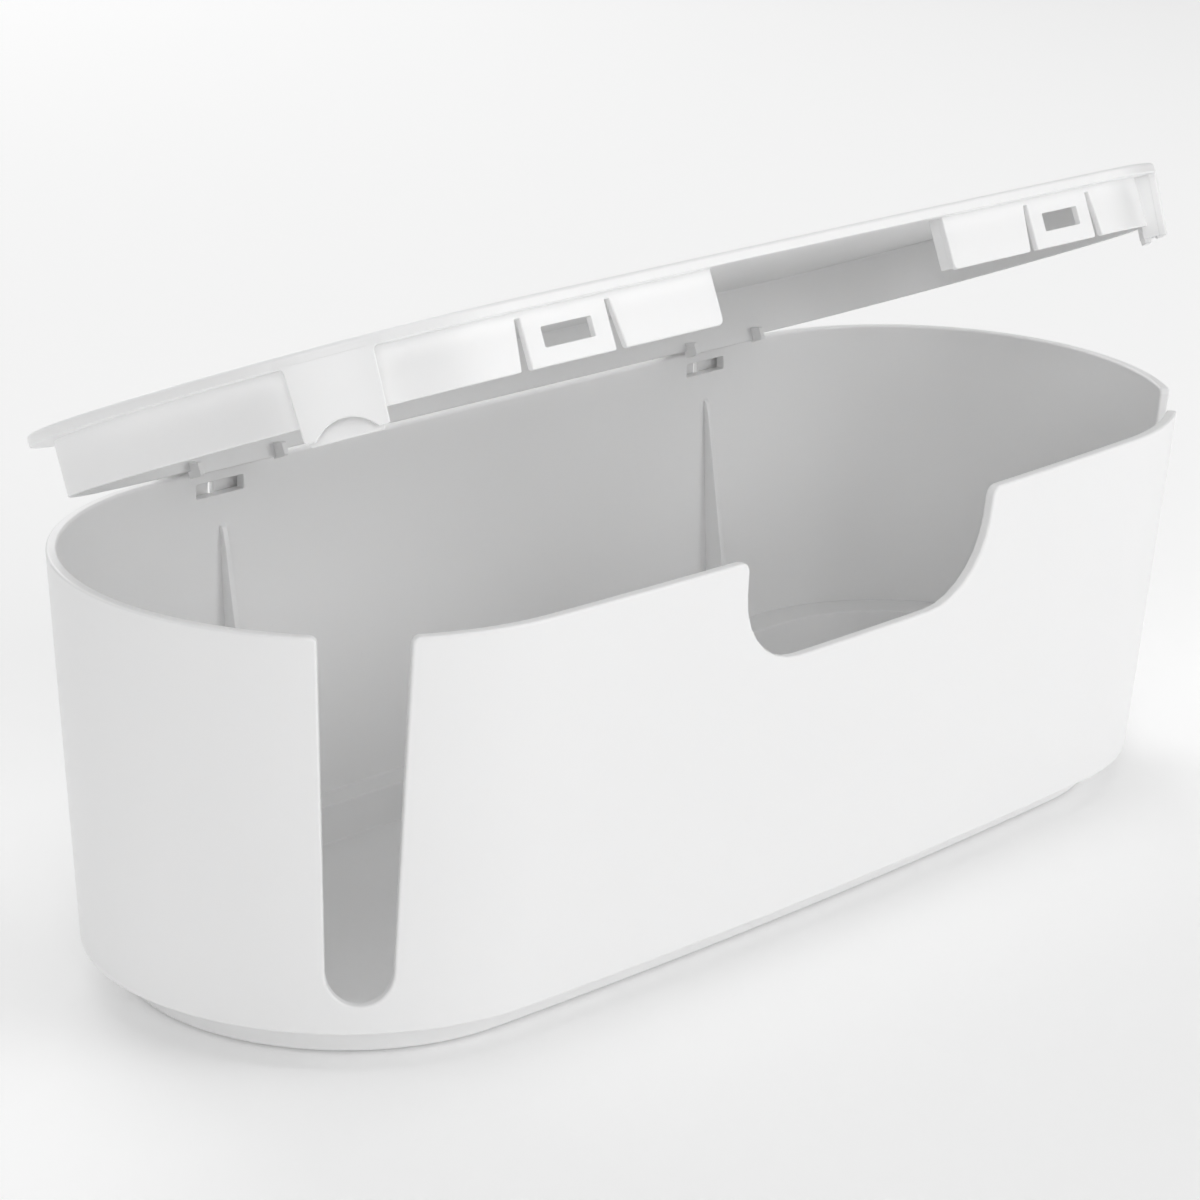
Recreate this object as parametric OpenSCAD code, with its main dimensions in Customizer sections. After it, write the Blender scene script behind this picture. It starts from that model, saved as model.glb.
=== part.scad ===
// Cable management box: a deep tub with a lid that lifts and tilts on two rear arms.
// Millimetres. X runs along the box, the hinge is on +Y, Z is up, and the feet stand on Z = 0.
// The lid is drawn raised and tilted, which is its rest pose.

/* [Overall size] */
// Half of the overall length
half_l = 200; // [150:1:260]
// Depth from the middle line to the flat rear wall
rear_r = 75; // [60:1:95]
// Radius of the two front corners
front_r = 81.3; // [62:0.1:110]
// Height of the rim above the table
rim_h = 121; // [90:1:160]
// How far the front wall bows out between its corners
front_bow = 3.1; // [1:0.1:8]

/* [Tub walls] */
// Wall thickness at the rim
wall = 3.2; // [2.4:0.1:5]
// How far the walls lean in from rim to foot
draft_in = 7.7; // [4:0.1:12]
// Height of the recessed plinth
plinth_h = 10.6; // [6:0.1:16]
// Inset of the plinth from the rim outline
plinth_in = 19.4; // [14:0.1:28]
// Ground clearance under the plinth
lift_off = 0.8; // [0.4:0.1:3]
// Top of the sunken floor
floor_z = 5; // [4:0.1:9]
// Height of the ledge round the floor
ledge_z = 16; // [12:0.1:22]
// Inset of the ledge's inner edge from the rim outline
well_in = 19; // [16:0.1:28]
// Height of the shelves in the two rear corners
shelf_z = 28; // [20:0.5:50]
// Inset of the shelves' inner edge
shelf_in = 21; // [17:0.1:30]
// Radius of the rim edges
rim_round = 0.8; // [0.3:0.1:1.4]

/* [Cable slots] */
// Width of each corner slot at the rim
slot_w = 24; // [16:0.5:36]
// Narrowing of a slot from the rim to its round bottom
slot_taper = 4.4; // [0:0.1:8]
// Lowest point of each slot
slot_bottom = 18.9; // [17:0.1:60]
// Radius of a slot's upper corners
slot_top_r = 2; // [0.5:0.5:4]
// Angle of the slots from straight ahead
slot_angle = 40; // [20:1:60]

/* [Front opening] */
// Half width of the front opening at the rim
cut_half = 52.3; // [30:0.5:80]
// Height of the bottom of the front opening
cut_bottom = 88.8; // [60:0.5:105]
// Radius of its lower corners
cut_r = 24; // [8:0.5:28]
// Narrowing on each side from rim to bottom
cut_taper = 1.6; // [0:0.1:5]
// Radius of its upper corners
cut_top_r = 3; // [1:0.5:6]

/* [Rear wall] */
// Distance of each hinge from the middle
hinge_x = 102; // [70:1:130]
// Width of the windows in the rear wall
window_w = 17.5; // [12:0.5:24]
// Height of the windows in the rear wall
window_h = 4.1; // [3:0.1:7]
// Top of the windows below the rim
window_drop = 3.4; // [2.5:0.1:8]
// Thickness of the two inner ribs
rib_t = 1.9; // [1.2:0.1:4]
// Depth of the inner ribs at the ledge
rib_d = 8.6; // [4:0.1:12]
// Top of the inner ribs below the rim
rib_drop = 15; // [12:0.5:40]

/* [Lid] */
// Height of the lid's outer band
band_h = 3.2; // [2.4:0.1:6]
// Gap between the band and the rim when shut
band_gap = 0.2; // [0.1:0.05:0.6]
// Inset of the lid's skirt from its edge
skirt_in = 6.4; // [5.8:0.1:9]
// Depth of the skirt below the rim
skirt_d = 14.8; // [10:0.1:22]
// Thickness of the skirt
skirt_t = 2; // [1.4:0.1:3]
// Thickness of the lid plate
plate_t = 2.4; // [1.6:0.1:3]
// How much lower the skirt reaches at each hinge
tongue_d = 1.6; // [0.5:0.1:3]
// How far the two gussets of a hinge stand out from the skirt
gusset_d = 3.7; // [2:0.1:5]
// Thickness of the gussets
gusset_t = 1.9; // [1.2:0.1:3]
// Depth below the rim of the skirt behind each slot cover
back_d = 20.5; // [16:0.5:28]
// Width of the skirt there
back_w = 20.6; // [10:0.1:30]
// Gap in the skirt over the front opening, half width
gap_half = 48.6; // [26:0.1:76]
// Depth of the slot covers below the rim
tab_d = 19; // [16:0.5:30]
// Thickness of the slot covers
tab_t = 2.4; // [1.6:0.1:4]
// Side clearance of a cover in its slot
tab_clear = 0.5; // [0.3:0.05:1]
// Radius of the notch in each cover
notch_r = 10; // [6:0.5:14]
// Height of the notch in each cover
notch_h = 4; // [2:0.5:6]

/* [Latch fingers] */
// Distance of each latch finger from the middle
latch_x = 103.2; // [72:0.1:125]
// Width of a latch finger
latch_w = 29.5; // [20:0.5:36]
// Slit width at the top of a finger
slit_top = 0.8; // [0.5:0.1:2]
// Slit width at the bottom of a finger
slit_low = 2.8; // [1:0.1:4]
// Width of the window in a finger
latch_win_w = 17; // [10:0.5:22]
// Height of the window in a finger
latch_win_h = 4.5; // [3:0.1:7]
// Gap between a latch nub and the skirt
nub_gap = 0.4; // [0.2:0.05:1]

/* [Hinge] */
// Tilt of the lid in its rest pose
tilt = 23.2; // [0:0.1:60]
// Rise of the lid in its rest pose
rise = 13.6; // [4:0.1:20]
// Distance of the pin behind the rear face
pin_back = 3; // [2.9:0.1:5]
// Distance of the pin below the rim when shut
pin_drop = 8; // [6:0.1:12]
// Diameter of the hinge pin
pin_d = 3; // [2:0.1:4]
// Radial clearance of the pin in the lid's lug
pin_clear = 0.05; // [0.01:0.01:0.1]
// Radius of the lug and arm round the pin
knuckle_r = 2.7; // [2.2:0.1:3.6]
// Width of each hinge arm
arm_w = 31; // [22:0.5:40]
// Thickness of the arm's web
arm_t = 1.8; // [1.4:0.1:3]
// Thickness of the arm's side flanges
flange_t = 2; // [1.4:0.1:3]
// How far the arm's wings reach out each side
wing_w = 3; // [2:0.1:5]
// Height of the arm's wings
wing_h = 16; // [10:0.5:24]
// Running gap between arm and rails
rail_gap = 0.3; // [0.2:0.05:0.6]
// Thickness of the rail walls
rail_t = 2.5; // [1.8:0.1:4]
// Side gap between the lug and the arm's flanges
lug_gap = 0.3; // [0.2:0.05:0.6]
// Width of the slit down the middle of the arm's web
arm_slit = 1.8; // [1:0.1:4]

/* [Feet] */
// Diameter of the rubber feet
foot_d = 14; // [8:0.5:20]
// Depth of the recess each foot sits in
foot_in = 1.6; // [0.8:0.1:2]
// Distance of the feet from the middle along the box
foot_x = 138; // [90:1:150]
// Distance of the feet from the middle line
foot_y = 44; // [25:1:50]

/* [Hidden] */
EPS = 0.01;
WHITE = [0.93, 0.93, 0.92];
STEEL = [0.75, 0.76, 0.78];
RUBBER = [0.13, 0.13, 0.14];
// Corner centres: the rear corners and the front corners share the ends of the box
rear_cx = half_l - rear_r;
front_cx = half_l - front_r;
bow_d = (front_cx * front_cx + front_bow * front_bow) / (2 * front_bow);
bow_r = front_r + bow_d;
bow_cy = sqrt(bow_d * bow_d - front_cx * front_cx);
bow_a = asin(front_cx / bow_d);
corner_n = 20;
bow_n = 16;
slope = draft_in / (rim_h - plinth_h);
// Hinge pin position when the lid is shut and when it is raised
pin_y = rear_r + pin_back;
pin_z0 = rim_h - pin_drop;
pin_z = pin_z0 + rise;
arm_y = rear_r + 0.6;
wing_top = 14.6;
rail_top = pin_z - wing_top + 0.2;
rail_low = pin_z0 - wing_top - wing_h - 2;
rail_y = arm_y + arm_t + rail_gap + rail_t;
lug_w = arm_w - 2 * flange_t - 2 * lug_gap;
slot_r = (slot_w - slot_taper) / 2;
slot_mid = slot_bottom + slot_r;
band_z = rim_h + band_gap;
lid_top = band_z + band_h;

// Points of the plan outline, moved inward by e
function arc(cx, cy, r, a0, a1, n) =
    [for (i = [0:n]) [cx + r * cos(a0 + (a1 - a0) * i / n), cy + r * sin(a0 + (a1 - a0) * i / n)]];
function outline(e) = concat(
    arc(rear_cx, 0, rear_r - e, 0, 90, corner_n),
    arc(-rear_cx, 0, rear_r - e, 90, 180, corner_n),
    [for (p = arc(-front_cx, 0, front_r - e, 180, 270 - bow_a, corner_n)) if (p[1] < -0.001) p],
    [for (i = [1:bow_n - 1]) let (a = 270 - bow_a + 2 * bow_a * i / bow_n)
        [(bow_r - e) * cos(a), bow_cy + (bow_r - e) * sin(a)]],
    [for (p = arc(front_cx, 0, front_r - e, 270 + bow_a, 360, corner_n)) if (p[1] < -0.001) p]);

// A solid whose surface runs through rings of the outline, each given as [height, inset]
module rings(list) {
    n = len(outline(0));
    pts = [for (q = list) for (p = outline(q[1])) [p[0], p[1], q[0]]];
    last = (len(list) - 1) * n;
    sides = [for (k = [0:len(list) - 2]) for (i = [0:n - 1])
        [k * n + i, (k + 1) * n + i, (k + 1) * n + (i + 1) % n, k * n + (i + 1) % n]];
    polyhedron(points = pts, faces = concat([[for (i = [0:n - 1]) i]], sides,
        [[for (i = [n - 1:-1:0]) last + i]]), convexity = 8);
}

// Inset of the outer wall face at height z
function lean(z) = slope * (rim_h - z);

// Corner slot seen flat: straight tapered sides over a round bottom
module slot_flat(grow, top) {
    circle(r = slot_r + grow, $fn = 64);
    w = slot_r + slot_taper / 2 * (top - slot_mid) / (rim_h - slot_mid);
    polygon([[-slot_r - grow, 0], [slot_r + grow, 0], [w + grow, top - slot_mid], [-w - grow, top - slot_mid]]);
}

module slot_cut(side, grow = 0) {
    translate([side * front_cx, 0, slot_mid])
        rotate([0, 0, side * slot_angle])
            rotate([90, 0, 0])
                translate([0, 0, front_r - 30])
                    linear_extrude(height = 60)
                        slot_flat(grow, rim_h + 20);
}

// Rounded upper corners of a corner slot
module slot_top(side) {
    w = slot_w / 2;
    translate([side * front_cx, 0, rim_h - slot_top_r])
        rotate([0, 0, side * slot_angle])
            rotate([90, 0, 0])
                translate([0, 0, front_r - 30])
                    linear_extrude(height = 60)
                        difference() {
                            translate([-w - slot_top_r, -0.1])
                                square([2 * (w + slot_top_r), slot_top_r + 2.1]);
                            for (s = [-1, 1])
                                translate([s * (w + slot_top_r), 0])
                                    circle(r = slot_top_r, $fn = 32);
                        }
}

// Front opening seen flat, with rounded lower corners and flared upper corners
module front_flat() {
    low = cut_half - cut_taper;
    arcs = 12;
    right = concat(
        [for (i = [0:arcs]) let (a = -90 + 88 * i / arcs)
            [low - cut_r + cut_r * cos(a), cut_bottom + cut_r + cut_r * sin(a)]],
        [for (i = [0:arcs]) let (a = 180 - 90 * i / arcs)
            [cut_half + cut_top_r + cut_top_r * cos(a), rim_h - cut_top_r + cut_top_r * sin(a)]]);
    left = [for (i = [len(right) - 1:-1:0]) [-right[i][0], right[i][1]]];
    polygon(concat(right, [[cut_half + cut_top_r, rim_h + 2], [-cut_half - cut_top_r, rim_h + 2]], left));
}

module tub_body() {
    r = rim_round;
    rings([
        [lift_off, plinth_in],
        [plinth_h - 0.8, plinth_in - 1.2],
        [plinth_h, plinth_in - 2],
        [plinth_h, draft_in + 1.6],
        [plinth_h + 0.5, draft_in + 0.5],
        [plinth_h + 1.7, lean(plinth_h + 1.7)],
        [rim_h - r, lean(rim_h - r)],
        [rim_h - r * 0.3, r * 0.3],
        [rim_h, r],
        [rim_h, wall - r],
        [rim_h - r * 0.3, wall - r * 0.3],
        [rim_h - r, wall + lean(rim_h - r)],
        [ledge_z + 0.5, wall + lean(ledge_z + 0.5)],
        [ledge_z, wall + lean(ledge_z) + 0.4],
        [ledge_z, well_in - 0.2],
        [ledge_z - 0.3, well_in],
        [floor_z + 0.6, well_in + 1.5],
        [floor_z, well_in + 2]]);
}

// Rails for one hinge arm, on the rear wall
module rails(side) {
    out_w = arm_w / 2 + wing_w + rail_gap + rail_t;
    in_w = arm_w / 2 + wing_w + rail_gap;
    for (s = [-1, 1]) {
        translate([side * hinge_x, 0, 0]) {
            // Backing pad, which makes the running face upright
            translate([s < 0 ? -in_w - EPS : arm_w / 2 + 0.1, rear_r - draft_in, rail_low])
                cube([in_w + EPS - arm_w / 2 - 0.1, draft_in + 0.6 - rail_gap, rail_top + 2.2 - rail_low]);
            // Side wall
            translate([s < 0 ? -out_w : in_w, rear_r - draft_in, rail_low])
                cube([rail_t, draft_in + rail_y - rear_r, rail_top + 2.2 - rail_low]);
            // Lip
            translate([s < 0 ? -out_w : arm_w / 2 + 0.6, rail_y - rail_t, rail_low])
                cube([out_w - arm_w / 2 - 0.6, rail_t, rail_top + 2.2 - rail_low]);
            // Cap that stops the wing
            translate([s < 0 ? -out_w : arm_w / 2 + 0.5, rear_r - draft_in, rail_top])
                cube([out_w - arm_w / 2 - 0.5, draft_in + rail_y - rear_r, 2.2]);
        }
    }
}

// Outer walls as one block, to trim what is added behind them
module hollow() {
    rings([
        [ledge_z + EPS, wall + lean(ledge_z) - 1.4],
        [rim_h + 3, wall + lean(rim_h + 3) - 1.4]]);
}

module rib(side) {
    wy = rear_r - wall;
    translate([side * hinge_x + rib_t / 2 - side, 0, 0])
        rotate([0, -90, 0])
            linear_extrude(height = rib_t)
                polygon([
                    [ledge_z - 1, wy - lean(ledge_z) + 1.2],
                    [ledge_z - 1, wy - lean(ledge_z) - rib_d],
                    [ledge_z + (rim_h - ledge_z) * 0.33, wy - lean(ledge_z + (rim_h - ledge_z) * 0.33) - rib_d * 0.85],
                    [rim_h - rib_drop - 6, wy - lean(rim_h - rib_drop - 6) - 1.9],
                    [rim_h - rib_drop - 2, wy - lean(rim_h - rib_drop - 2) - 1],
                    [rim_h - rib_drop, wy - lean(rim_h - rib_drop) + 1.2]]);
}

// Raised shelf that follows the wall round one rear corner
module shelf(side) {
    x0 = hinge_x - rib_t / 2;
    intersection() {
        difference() {
            rings([[floor_z - 1, wall + 1 + lean(ledge_z)], [shelf_z, wall - 1 + lean(shelf_z)]]);
            rings([
                [floor_z - 2, shelf_in + 1.6],
                [shelf_z - 0.3, shelf_in],
                [shelf_z, shelf_in - 0.3],
                [shelf_z + 1, shelf_in - 0.3]]);
        }
        translate([side < 0 ? -half_l : x0, 0, floor_z - EPS * 50])
            cube([half_l - x0, rear_r, shelf_z]);
    }
}

// Nub on the inside of the front wall, which the latch window drops over
module nub(side) {
    x = side * latch_x;
    a = asin(x / bow_r);
    translate([0, bow_cy, 0])
        rotate([0, 0, a])
            translate([0, -bow_cy, rim_h - 8])
                rotate([90, 0, 90])
                    translate([0, 0, -latch_win_w / 2 + 1])
                        linear_extrude(height = latch_win_w - 2)
                            polygon([
                                [bow_cy - bow_r + wall - 1, -1.8],
                                [bow_cy - bow_r + skirt_in - nub_gap, -0.8],
                                [bow_cy - bow_r + skirt_in - nub_gap, 0.6],
                                [bow_cy - bow_r + wall - 1, 2.6]]);
}

module foot_at(sx, sy) {
    translate([sx * foot_x, sy * foot_y, 0])
        children();
}

module tub_shell() {
    color(WHITE)
    difference() {
        union() {
            difference() {
                union() {
                    tub_body();
                    rails(-1);
                    rails(1);
                }
                hollow();
            }
            rib(-1);
            rib(1);
            shelf(-1);
            shelf(1);
            nub(-1);
            nub(1);
        }
        slot_cut(-1);
        slot_cut(1);
        slot_top(-1);
        slot_top(1);
        rotate([90, 0, 0])
            linear_extrude(height = front_r + 20)
                front_flat();
        for (s = [-1, 1])
            translate([s * hinge_x - window_w / 2, rear_r - 12, rim_h - window_drop - window_h])
                cube([window_w, 14, window_h]);
        for (sx = [-1, 1])
            for (sy = [-1, 1])
                foot_at(sx, sy)
                    translate([0, 0, -1])
                        cylinder(d = foot_d + 0.3, h = lift_off + foot_in + 1, $fn = 48);
    }
}

module lid_body() {
    rings([
        [lid_top - plate_t, skirt_in + skirt_t + 0.8],
        [lid_top - plate_t - 0.8, skirt_in + skirt_t],
        [rim_h - skirt_d + 0.4, skirt_in + skirt_t + 0.1],
        [rim_h - skirt_d, skirt_in + skirt_t - 0.2],
        [rim_h - skirt_d, skirt_in + 0.6],
        [rim_h - skirt_d + 0.4, skirt_in + 0.2],
        [band_z, skirt_in],
        [band_z, 0.4],
        [band_z + 0.4, 0],
        [lid_top - 1, 0.1],
        [lid_top - 0.3, 0.5],
        [lid_top, 1.3]]);
}

// Cover that fills the top of one corner slot
module tab(side) {
    low = rim_h - tab_d;
    difference() {
        intersection() {
            difference() {
                rings([[low - EPS, lean(low) + 0.1], [band_z + 1, 0]]);
                rings([[low - 1, lean(low) + 0.1 + tab_t], [band_z + 2, tab_t]]);
            }
            slot_cut(side, -tab_clear);
        }
        notch(side);
    }
    // Side webs back to the skirt
    intersection() {
        difference() {
            rings([[low + 5, lean(low) + 0.4], [band_z + 1, 0.4]]);
            rings([[low, skirt_in + 1.4], [band_z + 2, skirt_in + 1.4]]);
        }
        difference() {
            slot_cut(side, -tab_clear);
            slot_cut(side, -tab_clear - 1.8);
        }
        translate([-half_l - 10, -front_r - 40, low + 5])
            cube([2 * half_l + 20, front_r + 40, tab_d]);
    }
}

module notch(side) {
    translate([side * front_cx, 0, rim_h - tab_d + notch_h - notch_r])
        rotate([0, 0, side * slot_angle])
            rotate([90, 0, 0])
                translate([0, 0, front_r - 20])
                    cylinder(r = notch_r, h = 40, $fn = 64);
}

// Two slits and a window that make one latch finger
module latch_cut(side) {
    low = rim_h - skirt_d - 1;
    top = rim_h - 1.5;
    for (s = [-1, 1])
        translate([side * latch_x + s * latch_w / 2, 0, 0])
            rotate([90, 0, 0])
                translate([0, 0, front_r - 20])
                    linear_extrude(height = 30)
                        polygon([
                            [s < 0 ? -slit_low : 0, low],
                            [s < 0 ? 0 : slit_low, low],
                            [s < 0 ? 0 : slit_top, top],
                            [s < 0 ? -slit_top : 0, top]]);
    translate([side * latch_x, 20 - front_r, rim_h - 5.5 - latch_win_h / 2])
        rotate([90, 0, 0])
            linear_extrude(height = 30)
                offset(r = 1.2, $fn = 32)
                    square([latch_win_w - 2.4, latch_win_h - 2.4], center = true);
}

// Lower edge of the rear skirt at one hinge, with a gusset at each end
module tongue(side) {
    y = rear_r - skirt_in - skirt_t;
    low = rim_h - skirt_d - tongue_d;
    translate([side * hinge_x - arm_w / 2, y, low])
        cube([arm_w, skirt_t - 0.3, tongue_d + 1]);
    for (s = [-1, 1])
        translate([side * hinge_x + s * arm_w / 2 - gusset_t / 2, 0, 0])
            rotate([90, 0, 90])
                linear_extrude(height = gusset_t)
                    polygon([
                        [y - gusset_d + 0.6, low - 0.6],
                        [y + skirt_t - 0.5, low - 0.6],
                        [y + skirt_t - 0.5, lid_top - plate_t + 0.5],
                        [y - gusset_d, lid_top - plate_t + 0.5],
                        [y - gusset_d, low]]);
}

// Skirt behind one slot cover, which reaches lower than the rest
module back_panel(side) {
    low = rim_h - back_d;
    intersection() {
        difference() {
            rings([[low, skirt_in + 0.5], [low + 0.4, skirt_in + 0.2], [rim_h - 2, skirt_in + 0.1]]);
            rings([[low - 1, skirt_in + skirt_t], [rim_h, skirt_in + skirt_t]]);
        }
        translate([side * front_cx, 0, 0])
            rotate([0, 0, side * slot_angle])
                translate([-back_w / 2, -front_r - 20, low - 1])
                    cube([back_w, front_r, back_d]);
    }
}

// Hinge lug behind the rear edge, with a true bore
module lug(side) {
    translate([side * hinge_x - lug_w / 2, 0, 0]) {
        translate([0, pin_y, pin_z0])
            rotate([0, 90, 0])
                cylinder(r = knuckle_r, h = lug_w, $fn = 48);
        translate([0, pin_y - knuckle_r, pin_z0])
            cube([lug_w, 2 * knuckle_r, lid_top - 1 - pin_z0]);
        translate([0, rear_r - 2, band_z + 0.2])
            cube([lug_w, pin_y + knuckle_r - rear_r + 1, lid_top - band_z - 1.2]);
    }
}

module lid_shut() {
    difference() {
        union() {
            difference() {
                lid_body();
                latch_cut(-1);
                latch_cut(1);
                translate([-gap_half, -front_r - 20, rim_h - skirt_d - 1])
                    cube([2 * gap_half, 40, skirt_d + 1 + band_gap - EPS]);
            }
            tab(-1);
            tab(1);
            lug(-1);
            lug(1);
            tongue(-1);
            tongue(1);
            back_panel(-1);
            back_panel(1);
            // Return walls at the ends of the gap in the skirt
            for (s = [-1, 1])
                translate([s < 0 ? -gap_half - 2 : gap_half, -front_r - front_bow + skirt_in + 1, rim_h - skirt_d + 0.5])
                    cube([2, 5, skirt_d + 1.5]);
        }
        for (s = [-1, 1])
            translate([s * hinge_x - lug_w / 2 - 1, pin_y, pin_z0])
                rotate([0, 90, 0])
                    cylinder(r = pin_d / 2 + pin_clear, h = lug_w + 2, $fn = 48);
    }
}

module lid_shell() {
    color(WHITE)
    translate([0, pin_y, pin_z])
        rotate([-tilt, 0, 0])
            translate([0, -pin_y, -pin_z0])
                lid_shut();
}

// One hinge arm: a web with wings that run in the rails and two flanges that hold the pin
module hinge_arm(side) {
    color(WHITE)
    difference() {
        translate([side * hinge_x, 0, pin_z]) {
            difference() {
                translate([-arm_w / 2, arm_y, -wing_top - wing_h])
                    cube([arm_w, arm_t, wing_top + wing_h - knuckle_r - 0.9]);
                translate([-arm_slit / 2, arm_y - 1, -wing_top - wing_h + 6])
                    cube([arm_slit, arm_t + 2, wing_top + wing_h - 12]);
            }
            translate([-arm_w / 2 - wing_w, arm_y, -wing_top - wing_h])
                cube([arm_w + 2 * wing_w, arm_t, 3.5]);
            for (s = [-1, 1]) {
                translate([s < 0 ? -arm_w / 2 - wing_w : arm_w / 2 - EPS, arm_y, -wing_top - wing_h])
                    cube([wing_w + EPS, arm_t, wing_h]);
                translate([s < 0 ? -arm_w / 2 : arm_w / 2 - flange_t, pin_y, 0])
                    rotate([0, 90, 0])
                        cylinder(r = knuckle_r, h = flange_t, $fn = 48);
                translate([s < 0 ? -arm_w / 2 : arm_w / 2 - flange_t, arm_y, -12])
                    cube([flange_t, pin_y + knuckle_r - arm_y, 12]);
            }
        }
        translate([side * hinge_x - arm_w / 2 - 1, pin_y, pin_z])
            rotate([0, 90, 0])
                cylinder(r = pin_d / 2, h = arm_w + 2, $fn = 48);
    }
}

module hinge_pin(side) {
    color(STEEL)
    translate([side * hinge_x - arm_w / 2, pin_y, pin_z])
        rotate([0, 90, 0])
            union() {
                cylinder(d1 = pin_d - 0.6, d2 = pin_d, h = 0.3, $fn = 48);
                translate([0, 0, 0.3])
                    cylinder(d = pin_d, h = arm_w - 0.6, $fn = 48);
                translate([0, 0, arm_w - 0.3])
                    cylinder(d1 = pin_d, d2 = pin_d - 0.6, h = 0.3, $fn = 48);
            }
}

module rubber_foot(sx, sy) {
    color(RUBBER)
    foot_at(sx, sy)
        union() {
            cylinder(d1 = foot_d - 1, d2 = foot_d, h = 0.5, $fn = 48);
            translate([0, 0, 0.5])
                cylinder(d = foot_d, h = lift_off + foot_in - 0.5, $fn = 48);
        }
}

module hinge_arm_left() {
    hinge_arm(-1);
}

module hinge_arm_right() {
    hinge_arm(1);
}

module hinge_pin_left() {
    hinge_pin(-1);
}

module hinge_pin_right() {
    hinge_pin(1);
}

module rubber_foot_front_left() {
    rubber_foot(-1, -1);
}

module rubber_foot_front_right() {
    rubber_foot(1, -1);
}

module rubber_foot_rear_left() {
    rubber_foot(-1, 1);
}

module rubber_foot_rear_right() {
    rubber_foot(1, 1);
}

tub_shell();
lid_shell();
hinge_arm_left();
hinge_arm_right();
hinge_pin_left();
hinge_pin_right();
rubber_foot_front_left();
rubber_foot_front_right();
rubber_foot_rear_left();
rubber_foot_rear_right();
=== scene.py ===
import bpy
import math
import numpy as np
from mathutils import Matrix, Vector
from mathutils.geometry import delaunay_2d_cdt


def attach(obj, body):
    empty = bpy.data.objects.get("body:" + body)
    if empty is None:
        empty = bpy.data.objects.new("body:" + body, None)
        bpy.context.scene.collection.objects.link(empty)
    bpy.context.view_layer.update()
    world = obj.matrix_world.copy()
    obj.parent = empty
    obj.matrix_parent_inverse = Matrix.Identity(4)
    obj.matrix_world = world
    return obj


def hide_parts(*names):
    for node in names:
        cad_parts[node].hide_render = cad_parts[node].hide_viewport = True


# Cable management box: the tub and the lid are made here as smooth moulded shells that stand
# where the frame's nodes are. Shapes are worked out in millimetres and stored in metres.

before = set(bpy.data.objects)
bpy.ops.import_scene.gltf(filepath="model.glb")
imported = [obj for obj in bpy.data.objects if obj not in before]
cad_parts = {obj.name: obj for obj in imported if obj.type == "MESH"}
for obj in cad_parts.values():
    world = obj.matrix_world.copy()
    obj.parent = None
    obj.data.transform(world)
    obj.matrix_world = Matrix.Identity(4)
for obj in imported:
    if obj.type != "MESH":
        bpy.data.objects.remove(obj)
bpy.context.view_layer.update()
print("frame loaded")

# camera: its right, up and back directions, where it stands, and its focal length in widths of its sensor
viewpoint = {
    "right": (0.6892, -0.7239, 0.0315), "up": (0.2095, 0.2407, 0.9477), "back": (-0.6936, -0.6466, 0.3176),
    "stand": (-0.7585, -0.6881, 0.4200), "sensor": 36.0, "focal": 3704 / 1200}
camData = bpy.data.cameras.new("camera")
camera = bpy.data.objects.new("camera", camData)
bpy.context.scene.collection.objects.link(camera)
bpy.context.scene.camera = camera
camData.sensor_width = viewpoint["sensor"]
camData.lens = viewpoint["focal"] * viewpoint["sensor"]
rows = zip(viewpoint["right"], viewpoint["up"], viewpoint["back"], viewpoint["stand"])
camera.matrix_world = Matrix(list(rows) + [(0, 0, 0, 1)])
print("camera set")

# plan outline shared by the tub and the lid
plan = {
    "halfLength": 200.0, "rearRadius": 75.0, "frontRadius": 81.3, "bow": 3.1,
    "cornerColumn": math.radians(1.5), "bowColumns": 44, "straightColumns": 12, "columnClear": 0.3}
# angle between the points of an arc: finer where its radius is over wideFrom
arcStep = {"wide": math.radians(11), "tight": math.radians(18), "wideFrom": 5}
blockSize = 500  # points that are compared with a loop at a time

rearX = plan["halfLength"] - plan["rearRadius"]
frontX = plan["halfLength"] - plan["frontRadius"]
bowReach = (frontX ** 2 + plan["bow"] ** 2) / (2 * plan["bow"])
bowRadius = plan["frontRadius"] + bowReach
bowY = math.sqrt(bowReach ** 2 - frontX ** 2)
bowAngle = math.asin(frontX / bowReach)
quarter = math.pi / 2

# each stretch: centre x, centre y, radius, start angle, end angle
# radius 0 is a straight run along the rear, with lengths for angles
stretches = [
    (0, plan["rearRadius"], 0, 0, rearX),
    (-rearX, 0, plan["rearRadius"], quarter, 2 * quarter),
    (-frontX, 0, plan["frontRadius"], 2 * quarter, 3 * quarter - bowAngle),
    (0, bowY, bowRadius, 3 * quarter - bowAngle, 3 * quarter + bowAngle),
    (frontX, 0, plan["frontRadius"], 3 * quarter + bowAngle, 4 * quarter),
    (rearX, 0, plan["rearRadius"], 0, quarter),
    (rearX, plan["rearRadius"], 0, 0, rearX)]
lengths = np.array([(b - a) * (r if r else 1) for cx, cy, r, a, b in stretches])
ends = np.cumsum(lengths)
starts = ends - lengths
girth = ends[-1]


def outlineAt(s):
    # point, outward normal and bend radius of the outline at distance s from the middle of the rear wall, going
    # round to the left: centre + radius * (cos, sin) on an arc, a straight run otherwise
    s = np.mod(np.asarray(s, float), girth)
    which = np.clip(np.searchsorted(ends, s, side="right"), 0, len(stretches) - 1)
    table = np.array(stretches)[which]
    along = s - starts[which]
    radius = table[:, 2]
    bent = radius > 0
    angle = np.where(bent, table[:, 3] + along / np.where(bent, radius, 1), quarter)
    normal = np.stack([np.cos(angle), np.sin(angle)], 1)
    normal[~bent] = (0, 1)
    point = table[:, :2] + radius[:, None] * normal
    point[~bent, 0] -= along[~bent]
    return point, normal, np.where(bent, radius, 1e9)


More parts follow.
